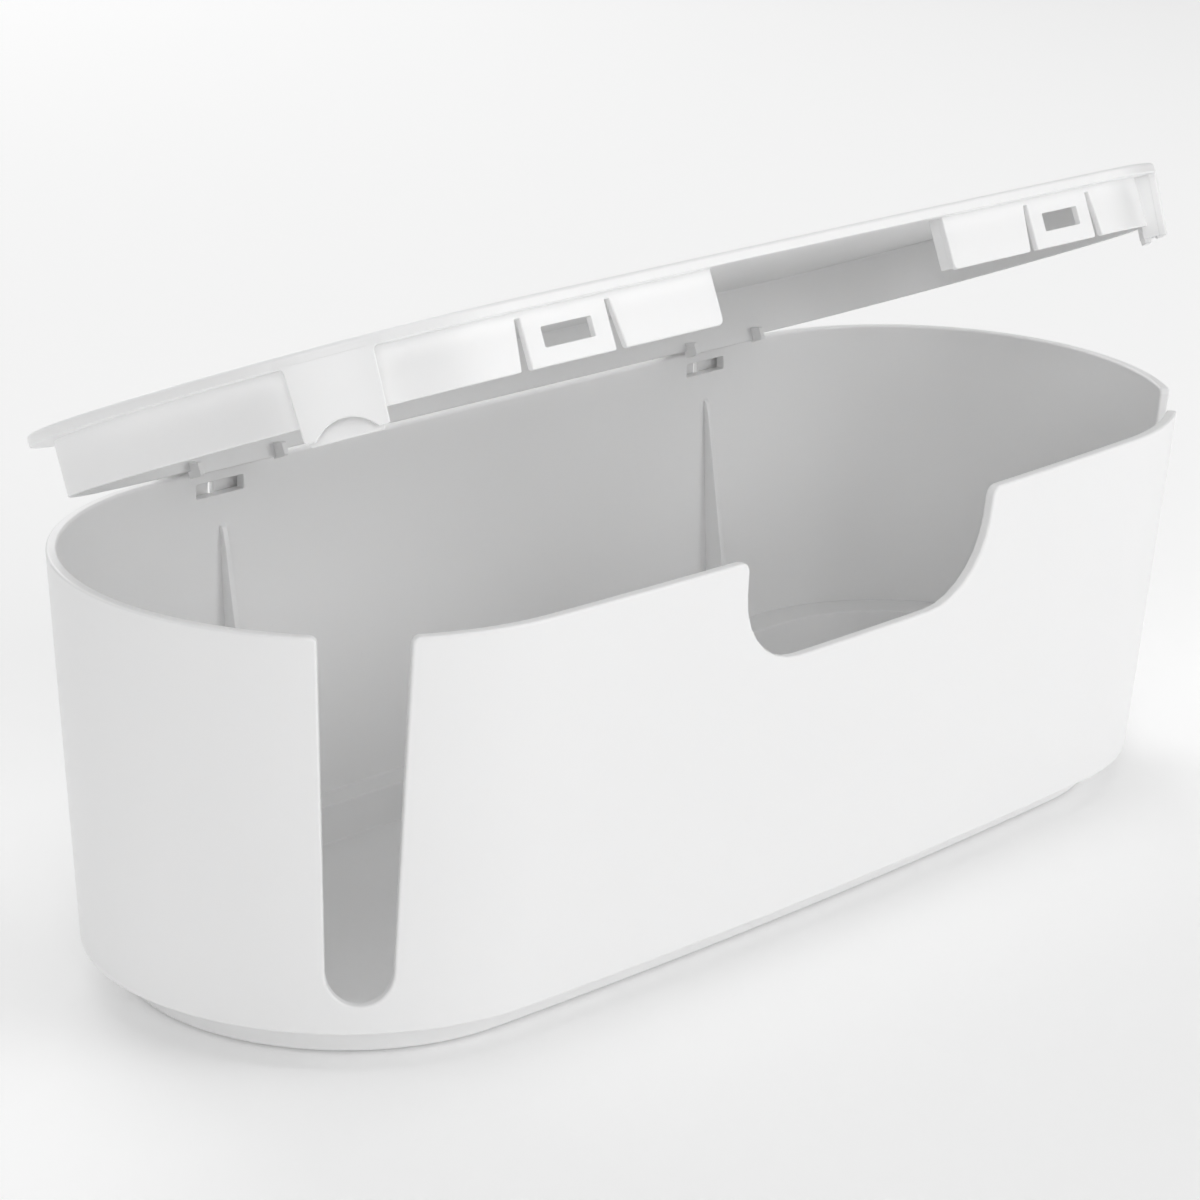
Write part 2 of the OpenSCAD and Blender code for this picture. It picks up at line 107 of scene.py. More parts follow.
def frontAt(x):
    # distance along the outline of the front bow's point at x: the bow's start + its radius * the angle so far
    return starts[3] + (bowAngle + math.asin(x / bowRadius)) * bowRadius


def columnList():
    # distances at which the shells get a column of vertices: close in the corners, wide on the straights
    parts = []
    for start, length, (cx, cy, r, a, b) in zip(starts, lengths, stretches):
        count = round((b - a) / plan["cornerColumn"])
        if r == 0:
            count = plan["straightColumns"]
        elif r == bowRadius:
            count = plan["bowColumns"]
        parts.append(start + np.linspace(0, length, count + 1)[:-1])
    return np.concatenate(parts + [[girth]])


columns = columnList()


def columnsBetween(low, high):
    # the columns between two distances, counted on and on round the outline
    turns = np.concatenate([columns[:-1] + girth * n for n in (-1, 0, 1, 2)])
    return turns[(turns > low) & (turns < high)]


def wallMap(lean, top):
    # (s, z, w) to space: the outline's point moved inward by w + lean * (top - z), at height z
    def place(s, z, w, flatNormal):
        point, normal, radius = outlineAt(s)
        inset = w + lean * (top - z)
        xyz = np.column_stack([point - inset[:, None] * normal, z])
        tangent = np.column_stack([-normal[:, 1], normal[:, 0]])
        squeeze = 1 - inset / radius
        aS, aZ, aW = flatNormal.T
        out = np.column_stack([tangent * (aS / squeeze)[:, None] - normal * aW[:, None], aZ + lean * aW])
        return xyz, out / np.linalg.norm(out, axis=1, keepdims=True)
    return place


def axisMap(order):
    # (u, v, h) to space by naming which of x, y, z each one is
    index = ["xyz".index(letter) for letter in order]

    def place(u, v, h, flatNormal):
        xyz, out = np.zeros((len(u), 3)), np.zeros((len(u), 3))
        for k, value in enumerate((u, v, h)):
            xyz[:, index[k]] = value
            out[:, index[k]] = flatNormal[:, k]
        return xyz, out
    return place


def roundPath(corners, radii, closed=False):
    # polyline through the corners with each corner replaced by an arc, and the unit vector to its right;
    # an arc starts radius / tan(half the corner's angle) before its corner
    corners = np.array(corners, float)
    count = len(corners)
    radii = np.broadcast_to(radii, count)
    points, sides = [], []
    for i in range(count):
        before, here, after = corners[i - 1], corners[i], corners[(i + 1) % count]
        if not closed and i in (0, count - 1):
            step = (after - here) if i == 0 else (here - before)
            points.append(here[None])
            sides.append(np.array([[step[1], -step[0]]]) / np.linalg.norm(step))
            continue
        u = (before - here) / np.linalg.norm(before - here)
        v = (after - here) / np.linalg.norm(after - here)
        angle = math.acos(np.clip(u @ v, -1, 1))
        r = radii[i]
        turn = u[0] * v[1] - u[1] * v[0]  # positive where the path turns right
        cut = r / math.tan(angle / 2)
        centre = here + (u + v) / np.linalg.norm(u + v) * r / math.sin(angle / 2)
        sweep = math.pi - angle
        steps = max(3, int(sweep / arcStep["wide" if r > arcStep["wideFrom"] else "tight"]))
        first = here + u * cut - centre
        t = np.linspace(0, sweep, steps + 1) * (-1 if turn > 0 else 1)
        ray = np.column_stack([
            first[0] * np.cos(t) - first[1] * np.sin(t),
            first[0] * np.sin(t) + first[1] * np.cos(t)])
        points.append(centre + ray)
        sides.append(ray / r * (-1 if turn > 0 else 1))
    return np.concatenate(points), np.concatenate(sides)


def subdivide(path, closed=False, longest=5.0, atColumns=False):
    # extra points on the straight parts: at the shell's columns where it runs level, else at even steps
    points, sides = path
    if closed:
        points, sides = np.vstack([points, points[:1]]), np.vstack([sides, sides[:1]])
    outP, outS = [], []
    for a, b, m, k in zip(points[:-1], points[1:], sides[:-1], sides[1:]):
        outP.append(a[None])
        outS.append(m[None])
        length = np.linalg.norm(b - a)
        if length <= longest * 0.5 or m @ k < 0.99999:
            continue
        if atColumns and abs(b[1] - a[1]) < 1e-9:
            low, high = sorted((a[0], b[0]))
            inside = columnsBetween(low + plan["columnClear"], high - plan["columnClear"])
            t = np.sort((inside - a[0]) / (b[0] - a[0]))
        else:
            t = np.linspace(0, 1, int(math.ceil(length / longest)) + 1)[1:-1]
        outP.append(a + t[:, None] * (b - a))
        outS.append(np.repeat(m[None], len(t), 0))
    if not closed:
        outP.append(points[-1:])
        outS.append(sides[-1:])
    return np.concatenate(outP), np.concatenate(outS)


def insideLoops(points, loops):
    # even-odd rule: a point is inside when a level line from it crosses the loops' edges an odd number of times
    odd = np.zeros(len(points), bool)
    for loop in loops:
        a, b = loop, np.roll(loop, -1, 0)
        for chunk in range(0, len(points), blockSize):
            p = points[chunk:chunk + blockSize, None]
            crosses = (a[:, 1] > p[..., 1]) != (b[:, 1] > p[..., 1])
            rise = np.where(b[:, 1] == a[:, 1], 1, b[:, 1] - a[:, 1])
            at = a[:, 0] + (p[..., 1] - a[:, 1]) / rise * (b[:, 0] - a[:, 0])
            odd[chunk:chunk + blockSize] ^= (crosses & (p[..., 0] < at)).sum(1) % 2 == 1
    return odd


def fillLoops(loops, grid=None, clear=1.2):
    # triangles of the flat region inside the first loop and outside the others, with grid points spread in it at
    # least clear away from the loops
    points = np.concatenate(loops)
    edges, first = [], 0
    for loop in loops:
        ids = np.arange(len(loop)) + first
        edges += np.column_stack([ids, np.roll(ids, -1)]).tolist()
        first += len(loop)
    if grid is not None and len(grid):
        grid = grid[insideLoops(grid, loops)]
        far = np.ones(len(grid), bool)
        for chunk in range(0, len(grid), blockSize):
            gap = np.linalg.norm(grid[chunk:chunk + blockSize, None] - points[None], axis=2).min(1)
            far[chunk:chunk + blockSize] = gap > clear
        points = np.vstack([points, grid[far]])
    found = delaunay_2d_cdt([Vector(p) for p in points], edges, [], 2, 1e-6)
    flat = np.array([points[ids[0]] if ids else tuple(v) for v, ids in zip(found[0], found[3])])
    tris = np.array(found[2])
    if len(loops) == 1:
        return flat, tris
    return flat, tris[~holeTriangles(flat, tris, found, len(points), edges, loops)]


def holeTriangles(flat, tris, found, count, edges, loops):
    # marks the triangles in holes: neighbours are gathered into patches up to the loops' own edges, then each patch
    # is inside or outside as the middle of its largest triangle is
    newId = np.zeros(count, int)
    for new, ids in enumerate(found[3]):
        newId[ids] = new
    walls = {tuple(sorted(pair)) for pair in newId[np.array(edges)].tolist()}
    beside = {}
    for k, tri in enumerate(tris.tolist()):
        for a, b in zip(tri, tri[1:] + tri[:1]):
            beside.setdefault((a, b) if a < b else (b, a), []).append(k)
    patch = [-1] * len(tris)
    near = [[] for tri in tris]
    for pair, both in beside.items():
        if pair not in walls and len(both) == 2:
            near[both[0]].append(both[1])
            near[both[1]].append(both[0])
    seeds = 0
    for k in range(len(tris)):
        if patch[k] >= 0:
            continue
        todo = [k]
        patch[k] = seeds
        while todo:
            for other in near[todo.pop()]:
                if patch[other] < 0:
                    patch[other] = seeds
                    todo.append(other)
        seeds += 1
    patch = np.array(patch)
    u, v = flat[tris[:, 1]] - flat[tris[:, 0]], flat[tris[:, 2]] - flat[tris[:, 0]]
    area = np.abs(u[:, 0] * v[:, 1] - u[:, 1] * v[:, 0])
    largest = np.array([np.where(patch == k, area, -1).argmax() for k in range(seeds)])
    inside = insideLoops(flat[tris[largest]].mean(1), loops)
    return ~inside[patch]


def facePatch(loops, depth, toward, place, grid=None):
    # a flat region laid on the wall at one depth, facing along toward
    flat, tris = fillLoops(loops, grid)
    facing = np.repeat([[0.0, 0.0, toward]], len(flat), 0)
    xyz, out = place(flat[:, 0], flat[:, 1], np.full(len(flat), float(depth)), facing)
    return xyz, tris, out


def gridFaces(rows, cols, closedRows=False):
    # quads of a rows by cols grid of vertices
    i = np.arange(rows if closedRows else rows - 1)[:, None]
    j = np.arange(cols - 1)[None]
    a = i * cols + j
    b = (i + 1) % rows * cols + j
    return np.stack([a, b, b + 1, a + 1], -1).reshape(-1, 4)


def roundedEdge(thickness, outerRound, innerRound, steps=4):
    # section of a wall's edge: a quarter round, a flat and a quarter round through the thickness, as inward reach
    # and depth, with its normals' shares of both
    t = np.linspace(0, quarter, steps + 1)
    inward = np.concatenate([outerRound * (1 - np.sin(t)), innerRound * (1 - np.cos(t))])
    depth = np.concatenate([outerRound * (1 - np.cos(t)), thickness - innerRound * (1 - np.sin(t))])
    return inward, depth, np.concatenate([-np.sin(t), -np.cos(t)]), np.concatenate([-np.cos(t), np.sin(t)])


def edgeBand(path, thickness, outerRound, innerRound, place, closed=False, start=0.0, steps=4):
    # the section of the wall's edge carried along the path: each of its points moved in by reach * the path's side
    points, sides = path
    inward, depth, aD, aW = roundedEdge(thickness, outerRound, innerRound, steps)
    depth = depth + start
    flat = points[:, None] + inward[None, :, None] * sides[:, None]
    n, m = flat.shape[:2]
    through = np.broadcast_to(aW[None, :, None], (n, m, 1))
    normal = np.concatenate([aD[None, :, None] * sides[:, None], through], 2)
    xyz, out = place(flat[..., 0].ravel(), flat[..., 1].ravel(), np.tile(depth, n), normal.reshape(-1, 3))
    return xyz, gridFaces(n, m, closed), out


def offset(path, distance):
    # the path moved to its right by a distance
    return path[0] + distance * path[1]


def panel(path, close, thickness, rounds, place, levels, holes=(), start=0.0, closeInner=None, capHeight=None):
    # a sheet of the wall: both faces and the rounded edge along an open path, closed by plain lines, with
    # round-edged holes; capHeight closes the sheet's open side with a level strip
    outerRound, innerRound = rounds
    closeInner = closeInner or close
    if capHeight is not None:  # the path's hidden ends are squared off so that the strip meets them
        sides = path[1].copy()
        sides[[0, -1]] = np.column_stack([np.sign(sides[[0, -1], 0]), [0, 0]])
        path = (path[0], sides)
    holes = [(subdivide(roundPath(corners, radii, True), True, 3), edge) for corners, radii, edge in holes]
    patches = [edgeBand(path, thickness, outerRound, innerRound, place, start=start)]
    patches += [edgeBand(hole, thickness, edge, edge, place, True, start) for hole, edge in holes]
    turns = columnsBetween(path[0][:, 0].min() - 1, path[0][:, 0].max() + 1)
    grid = np.array([(s, z) for s in turns for z in levels])
    outerFace, innerFace = (start, -1, outerRound, close), (start + thickness, 1, innerRound, closeInner)
    for depth, toward, roundness, line in (outerFace, innerFace):
        loop = np.vstack([offset(path, roundness), line(offset(path, roundness))])
        loops = [loop] + [offset(hole, edge) for hole, edge in holes]
        patches.append(facePatch(loops, depth, toward, place, grid))
    if capHeight is not None:
        inward, through, aD, aW = roundedEdge(thickness, outerRound, innerRound)
        (points, sides), through = path, through + start
        outerRun, innerRun = close(offset(path, outerRound)), closeInner(offset(path, innerRound))
        loop = np.vstack([
            np.column_stack([points[-1, 0] + inward[::-1] * sides[-1, 0], through[::-1]]),
            np.column_stack([outerRun[:, 0], np.full(len(outerRun), start)]),
            np.column_stack([points[0, 0] + inward * sides[0, 0], through]),
            np.column_stack([innerRun[::-1, 0], np.full(len(innerRun), start + thickness)])])
        flat, tris = fillLoops([loop])
        heights = np.full(len(flat), float(capHeight))
        xyz, out = place(flat[:, 0], heights, flat[:, 1], np.repeat([[0, 1.0, 0]], len(flat), 0))
        patches.append((xyz, tris, out))
    return patches


def sweepRing(path, place, outSide):
    # a profile of (inset, height) carried once round the outline, facing its right side when outSide is 1
    points, sides = path
    n, m = len(columns) - 1, len(points)
    s = np.repeat(columns[:-1], m)
    inset, z = np.tile(points[:, 0], n), np.tile(points[:, 1], n)
    facing = sides * outSide
    normal = np.column_stack([np.zeros(n * m), np.tile(facing[:, 1], n), np.tile(facing[:, 0], n)])
    xyz, out = place(s, z, inset, normal)
    return xyz, gridFaces(n, m, True), out


def outlineLoop(inset):
    # the outline's points at the columns, moved inward by inset
    point, normal, radius = outlineAt(columns[:-1])
    return point - inset * normal


def flatCap(loops, height, up):
    # a level face inside the first loop, less the other loops
    flat, tris = fillLoops(loops)
    xyz = np.column_stack([flat, np.full(len(flat), height)])
    return xyz, tris, np.repeat([[0.0, 0, up]], len(flat), 0)


def wallSolid(corners, radii, s0, s1, place):
    # a closed (inset, height) shape carried along the wall from s0 to s1, with its two ends closed
    points, sides = roundPath(corners, radii, True)
    rolled = np.roll(points, -1, 0)
    turn = (points[:, 0] * rolled[:, 1] - points[:, 1] * rolled[:, 0]).sum()
    outward = sides * (1 if turn > 0 else -1)
    clear = plan["columnClear"]
    run = np.unique(np.concatenate([[s0, s1], columnsBetween(s0 + clear, s1 - clear)]))
    n, m = len(run), len(points)
    s = np.repeat(run, m)
    normal = np.column_stack([np.zeros(n * m), np.tile(outward[:, 1], n), np.tile(outward[:, 0], n)])
    xyz, out = place(s, np.tile(points[:, 1], n), np.tile(points[:, 0], n), normal)
    i, j = np.arange(n - 1)[:, None] * m, np.arange(m)[None]
    quads = np.stack([i + j, i + (j + 1) % m, i + m + (j + 1) % m, i + m + j], -1).reshape(-1, 4)
    patches = [(xyz, quads, out)]
    for end, a in ((s0, -1.0), (s1, 1.0)):
        flat, tris = fillLoops([points])
        xyz, out = place(np.full(len(flat), end), flat[:, 1], flat[:, 0], np.repeat([[a, 0, 0]], len(flat), 0))
        patches.append((xyz, tris, out))
    return patches


def prism(corners, radii, low, high, bevel, place, holes=()):
    # a closed flat shape pushed from low to high, its long edges rounded by bevel; a corner that bulges gets a round
    # of a little more than the bevel, so that the bevel can follow it
    patches, loops = [], [[], []]
    for k, (loopCorners, loopRadii) in enumerate([(corners, radii)] + list(holes)):
        loopCorners = np.array(loopCorners, float)
        rolled = np.roll(loopCorners, -1, 0)
        turn = (loopCorners[:, 0] * rolled[:, 1] - loopCorners[:, 1] * rolled[:, 0]).sum()
        before, after = loopCorners - np.roll(loopCorners, 1, 0), rolled - loopCorners
        bulges = (before[:, 0] * after[:, 1] - before[:, 1] * after[:, 0] > 0) == ((turn > 0) == (k == 0))
        loopRadii = np.where(bulges, np.maximum(loopRadii, bevel * 1.02), loopRadii)
        points, sides = subdivide(roundPath(loopCorners, loopRadii, True), True, 4)
        inward = -sides * (1 if (turn > 0) == (k == 0) else -1)
        patches.append(edgeBand((points, inward), high - low, bevel, bevel, place, True, low, 3))
        for side in (0, 1):
            loops[side].append(points + bevel * inward)
    patches += [facePatch(loops[0], low, -1, place), facePatch(loops[1], high, 1, place)]
    return patches


def makePiece(name, patches, move=None):
    # joins the patches on their shared vertices, turns every face outwards and keeps the worked-out normals
    xyz = np.concatenate([p[0] for p in patches])
    out = np.concatenate([p[2] for p in patches])
    if move:
        xyz, out = move(xyz, out)
    faces, first = [], 0
    for p in patches:
        f = p[1] + first
        corners = xyz[f]
        across = np.cross(corners[:, 1] - corners[:, 0], corners[:, 2] - corners[:, 0])
        if f.shape[1] == 4:
            across += np.cross(corners[:, 2] - corners[:, 0], corners[:, 3] - corners[:, 0])
        if (across * out[f].mean(1)).sum() < 0:
            f = f[:, ::-1]
        faces.append(f)
        first += len(p[0])
    # corners in the same cell of half a thousandth of a millimetre become one vertex; the cells are shifted so that
    # no round measure lies on a border
    cellsPerMillimetre, shift = 2000, 0.123
    cells = np.round(xyz * cellsPerMillimetre + shift).astype(np.int64)
    keys, index = np.unique(cells, axis=0, return_inverse=True)
    index = index.ravel()
    points = np.zeros((len(keys), 3))
    points[index] = xyz
    polygons, normals = [], []
    for f in faces:
        for ring in f:
            ids = index[ring]
            same = ids == np.roll(ids, -1)
            if same.any():
                ring, ids = ring[~same], ids[~same]
            if len(set(ids.tolist())) < max(3, len(ids)):
                continue
            polygons.append(ids.tolist())
            normals.append(out[ring])
    mesh = bpy.data.meshes.new(name)
    mesh.from_pydata((points * 0.001).tolist(), [], polygons)
    mesh.polygons.foreach_set("use_smooth", np.ones(len(polygons), bool))
    mesh.normals_split_custom_set(np.concatenate(normals).tolist())
    mesh.update()
    piece = bpy.data.objects.new(name, mesh)
    bpy.context.scene.collection.objects.link(piece)
    print(name, len(polygons), "faces")
    return piece


# the tub
tubSize = {
    "rim": 121.0, "wall": 3.2, "leanIn": 7.7, "edgeRound": 0.8, "levels": [22, 34, 46, 58, 70, 82, 94, 106],
    "plinthTop": 10.6, "plinthInset": 19.4, "underside": 0.8, "floor": 5.0, "ledge": 16.0, "wellInset": 19.0,
    "outerFoot": 2.2, "outerTurn": 1.0, "innerFoot": 0.5, "draft": 1.6, "floorRun": 6.0,
    "outerRounds": [0, 1.1, 0.6, 0.7, 0], "innerRounds": [0, 0.45, 0.3, 0.6, 0],
    "slotWidth": 24.0, "slotTaper": 4.4, "slotBottom": 18.9, "slotAngle": math.radians(40), "slotTopRound": 2.0,
    "cutHalf": 52.3, "cutBottom": 88.8, "cutRound": 24.0, "cutTaper": 1.6, "cutTopRound": 3.0,
    "hingeX": 102.0, "windowWidth": 17.5, "windowHeight": 4.1, "windowDrop": 3.4, "windowCorner": 0.5,
    "windowEdge": 0.3, "footX": 138.0, "footY": 44.0, "recessRadius": 7.15, "recessTop": 2.4, "recessPoints": 48}
# profiles are (inset from the outline, height)
shelfSize = {
    "profile": [(21.0, 28.0), (22.6, 4.6), (20.5, 4.6), (18.2, 13), (9.6, 13), (8.2, 28.0)],
    "rounds": [0.35, 0.2, 0.2, 0.2, 0.2, 0.2], "intoFin": 0.4}
# a fin's profile is (height, reach out of the rear wall)
finSize = {
    "thick": 1.9, "edgeRound": 0.35, "rounds": [0.1, 0.1, 3, 3, 0.6, 0.1],
    "profile": [(15.0, -1.2), (15.0, 8.6), (50.65, 7.31), (100.0, 1.9), (104.0, 1.0), (106.0, -1.2)]}
nubSize = {
    "x": 103.2, "half": 7.5, "profile": [(2.2, 111.2), (6.0, 112.2), (6.0, 113.6), (2.2, 115.6)],
    "rounds": [0.1, 0.4, 0.4, 0.1]}
# across from the arm's middle line, backwards from the box's centre, and up
railSize = {
    "pad": 15.6, "lip": 16.1, "slide": 18.8, "out": 21.3, "root": 71.8, "face": 75.3, "lipFace": 77.7, "back": 80.2,
    "low": 80.4, "high": 114.4, "edgeRound": 0.35, "rounds": [0.1, 0.1, 0.8, 0.4, 0.4, 0.2, 0.2, 0.4],
    "capIn": 16.0, "capThick": 2.2, "capProud": 0.05, "capRound": 0.4, "capRounds": [0.1, 0.1, 0.8, 0.4]}


def leanAt(z):
    # how far the leaning wall stands in at height z: its slope * the drop from the rim
    return tubSize["leanIn"] / (tubSize["rim"] - tubSize["plinthTop"]) * (tubSize["rim"] - z)


upright = wallMap(0.0, tubSize["rim"])
leaning = wallMap(leanAt(tubSize["rim"] - 1), tubSize["rim"])


def slotHalf(z):
    # half width of a corner slot at height z: its bottom's radius + half the taper's share of the height above it
    t = tubSize
    radius = (t["slotWidth"] - t["slotTaper"]) / 2
    middle = t["slotBottom"] + radius
    return radius + t["slotTaper"] / 2 * (z - middle) / (t["rim"] - middle)


def slotCentre(side):
    # distance along the outline of a slot's middle line: its corner's start + the corner's radius * the angle to it
    if side < 0:
        return starts[2] + (quarter - tubSize["slotAngle"]) * plan["frontRadius"]
    return starts[4] + (tubSize["slotAngle"] - bowAngle) * plan["frontRadius"]


def tubTopEdge():
    # the rim as one line in (s, z): level, down and up each corner slot, down and up the front opening
    t = tubSize
    rim, low = t["rim"], t["slotBottom"]
    top, foot = slotHalf(rim), slotHalf(low)
    flare = math.atan2(top - foot, rim - low)
    footRound = 0.999 * foot * math.tan((quarter + flare) / 2)  # the largest round that the foot has room for
    slot = [(-top, rim, t["slotTopRound"]), (-foot, low, footRound),
            (foot, low, footRound), (top, rim, t["slotTopRound"])]
    half, floor = t["cutHalf"], t["cutHalf"] - t["cutTaper"]
    cut = [(-half, rim, t["cutTopRound"]), (-floor, t["cutBottom"], t["cutRound"]),
           (floor, t["cutBottom"], t["cutRound"]), (half, rim, t["cutTopRound"])]
    bends = [(0, rim, 0)]
    bends += [(slotCentre(-1) + x, z, r) for x, z, r in slot]
    bends += [(frontAt(x), z, r) for x, z, r in cut]
    bends += [(slotCentre(1) + x, z, r) for x, z, r in slot]
    bends += [(girth, rim, 0)]
    path = roundPath([(s, z) for s, z, r in bends], [r for s, z, r in bends])
    return subdivide(path, atColumns=True)


def rectangle(s, z, wide, high):
    # corners of a rectangle round the point (s, z): half its width and half its height away
    return [(s - wide / 2, z - high / 2), (s + wide / 2, z - high / 2),
            (s + wide / 2, z + high / 2), (s - wide / 2, z + high / 2)]


def tubWalls():
    # the wall with its slots, opening and windows, and the feet of its two faces carried round to the middle
    t = tubSize
    levels, edges = t["levels"], (t["edgeRound"], t["edgeRound"])
    outerLow, innerLow = t["plinthTop"] + t["outerFoot"], t["ledge"] + t["innerFoot"]

    def closing(low):
        # down the seam at the rear middle, back along the bottom, up the seam
        def line(loop):
            seam = np.array(levels[::-1], float)
            bottom = np.column_stack([columns[::-1], np.full(len(columns), low)])
            return np.vstack([np.column_stack([np.full(len(seam), girth), seam]), bottom,
                              np.column_stack([np.zeros(len(seam)), seam[::-1]])])
        return line

    middle = t["rim"] - t["windowDrop"] - t["windowHeight"] / 2
    windows = [(rectangle(s, middle, t["windowWidth"], t["windowHeight"]), t["windowCorner"], t["windowEdge"])
               for s in (t["hingeX"], girth - t["hingeX"])]
    patches = panel(tubTopEdge(), closing(outerLow), t["wall"], edges, leaning, levels, windows,
                    closeInner=closing(innerLow))
    low, step, inset, well, draft = t["underside"], t["plinthTop"], t["plinthInset"], t["wellInset"], t["draft"]
    outerFoot = [(leanAt(outerLow), outerLow), (leanAt(step + t["outerTurn"]), step), (inset - draft, step),
                 (inset, low), (inset + draft, low)]
    innerFoot = [(t["wall"] + leanAt(innerLow), innerLow), (t["wall"] + leanAt(t["ledge"]), t["ledge"]),
                 (well, t["ledge"]), (well + draft, t["floor"]), (well + t["floorRun"], t["floor"])]
    patches.append(sweepRing(roundPath(outerFoot, t["outerRounds"]), upright, 1))
    patches.append(sweepRing(roundPath(innerFoot, t["innerRounds"]), upright, -1))
    patches.append(flatCap([outlineLoop(well + t["floorRun"])], t["floor"], 1.0))
    return patches


def underside():
    # the level underside less four round recesses, each a ring of upright quads with a flat top
    t = tubSize
    low, top, count = t["underside"], t["recessTop"], t["recessPoints"]
    turn = np.linspace(0, 2 * math.pi, count + 1)[:-1]
    circle = np.column_stack([np.cos(turn), np.sin(turn)])
    i = np.arange(count)
    quads = np.column_stack([i, (i + 1) % count, (i + 1) % count + count, i + count])
    inward = np.column_stack([-circle, np.zeros(count)])
    patches, recesses = [], []
    for sx in (-1, 1):
        for sy in (-1, 1):
            recess = np.array([sx * t["footX"], sy * t["footY"]]) + t["recessRadius"] * circle
            recesses.append(recess)
            ring = np.vstack([np.column_stack([recess, np.full(count, z)]) for z in (low, top)])
            patches += [(ring, quads, np.vstack([inward, inward])), flatCap([recess], top, -1.0)]
    return patches + [flatCap([outlineLoop(t["plinthInset"] + t["draft"])] + recesses, low, -1.0)]


def hingeRails(x):
    # two rails that hold a hinge arm's wings, mirrored about the arm's middle line, each with a cap over its top
    r = railSize
    patches = []
    for s in (-1, 1):
        section = [(r["pad"], r["root"]), (r["out"], r["root"]), (r["out"], r["back"]),
                   (r["lip"], r["back"]), (r["lip"], r["lipFace"]), (r["slide"], r["lipFace"]),
                   (r["slide"], r["face"]), (r["pad"], r["face"])]
        patches += prism([(x + s * u, v) for u, v in section], r["rounds"], r["low"], r["high"] - r["capRound"],
                         r["edgeRound"], axisMap("xyz"))
        inner, outer, back = r["capIn"], r["out"] + r["capProud"], r["back"] + r["capProud"]
        cap = [(inner, r["root"]), (outer, r["root"]), (outer, back), (inner, back)]
        patches += prism([(x + s * u, v) for u, v in cap], r["capRounds"], r["high"] - r["capThick"], r["high"],
                         r["capRound"], axisMap("xyz"))
    return patches


def buildTub():
    t, f = tubSize, finSize
    patches = tubWalls() + underside()

    # raised shelves round the rear corners, carried along the wall from the fin to the middle of the end
    finEdge = t["hingeX"] - f["thick"] / 2 + shelfSize["intoFin"]
    for s0, s1 in ((finEdge, starts[2]), (starts[5], girth - finEdge)):
        patches += wallSolid(shelfSize["profile"], shelfSize["rounds"], s0, s1, upright)

    # fins that taper up the rear wall, nubs under the latch windows, and the hinge arms' rails
    fin = [(plan["rearRadius"] - t["wall"] - leanAt(z) - reach, z) for z, reach in f["profile"]]
    for side in (-1, 1):
        x = side * t["hingeX"]
        patches += prism(fin, f["rounds"], x - f["thick"] / 2, x + f["thick"] / 2, f["edgeRound"], axisMap("yzx"))
        middle, half = frontAt(side * nubSize["x"]), nubSize["half"]
        patches += wallSolid(nubSize["profile"], nubSize["rounds"], middle - half, middle + half, upright)
        patches += hingeRails(x)
    return makePiece("tub", patches)


tub = buildTub()

# the lid, worked out shut and then raised and tilted
lidSize = {
    "under": 121.2, "top": 124.4, "hidden": 121.8, "skirtInset": 6.4, "skirt": 2.0, "skirtLow": 106.2,
    "edgeRound": 0.45, "levels": [109, 112, 115, 118], "gapHalf": 48.6, "gapRound": 1.8,
    "backLow": 101.0, "backWide": 20.6, "backRound": 0.5, "tongueLow": 104.6, "armWide": 31.0, "tongueRound": 0.7,
    "plateEdge": 14.0, "plateUnder": 122.0, "bandDeep": 8.5, "bandDraft": 0.2, "bandLean": 0.12,
    "bandRounds": [0, 0.3, 0.25, 0.45, 1.1, 0], "deeperRound": 0.45}
# a wall that returns from the skirt beside the front gap: inner and outer are its sides' distances past the gap's end
returnSize = {
    "inner": 0.06, "outer": 2.0, "front": -77.0, "back": -72.0, "low": 106.7, "high": 122.7, "round": 0.5,
    "edgeRound": 0.4}
fingerSize = {
    "x": 103.2, "wide": 29.5, "slitTop": 1.7, "slitLow": 3.6, "slitHigh": 119.5, "slitRound": 0.35,
    "mouthRound": 0.6, "windowWide": 17.4, "windowHigh": 5.3, "windowMiddle": 113.6, "windowCorner": 0.45,
    "windowEdge": 0.25}
coverSize = {
    "low": 102.0, "high": 123.0, "thick": 2.4, "clear": 0.5, "fillet": 1.2, "side": 1.1, "skinLean": 0.0375,
    "skinProud": 0.02, "levels": [108, 113, 118], "shoulder": 0.5, "footRound": 0.8, "notchRound": 10.0,
    "notchHigh": 4.0, "notchSteps": 15, "notchEnd": 0.5, "notchBend": 0.3, "webFrom": 1.6, "webTo": 7.2,
    "webThick": 1.8, "webClear": 0.6, "webRise": 0.5, "webRounds": [0.3, 0.1, 0.1, 0.3], "webEdge": 0.3}
hingeSize = {
    "pinY": 78.0, "pinShut": 113.0, "pinRaised": 126.6, "tilt": math.radians(23.2), "bore": 1.55,
    "lugWide": 26.4, "lugHalf": 2.7, "lugTop": 123.4, "lugFront": 73.0, "lugStep": 121.4,
    "lugRounds": [2.69, 2.69, 0.6, 0.3, 0.3, 0.3], "lugEdge": 0.3,
    "gussetTop": 109.0, "gussetSlope": 1.0, "gussetThick": 1.9, "gussetDeep": 3.7, "gussetDrop": 0.6,
    "gussetBack": 1.5, "gussetRounds": [0.4, 0.4, 0.2, 0.2, 0.2], "gussetEdge": 0.4}


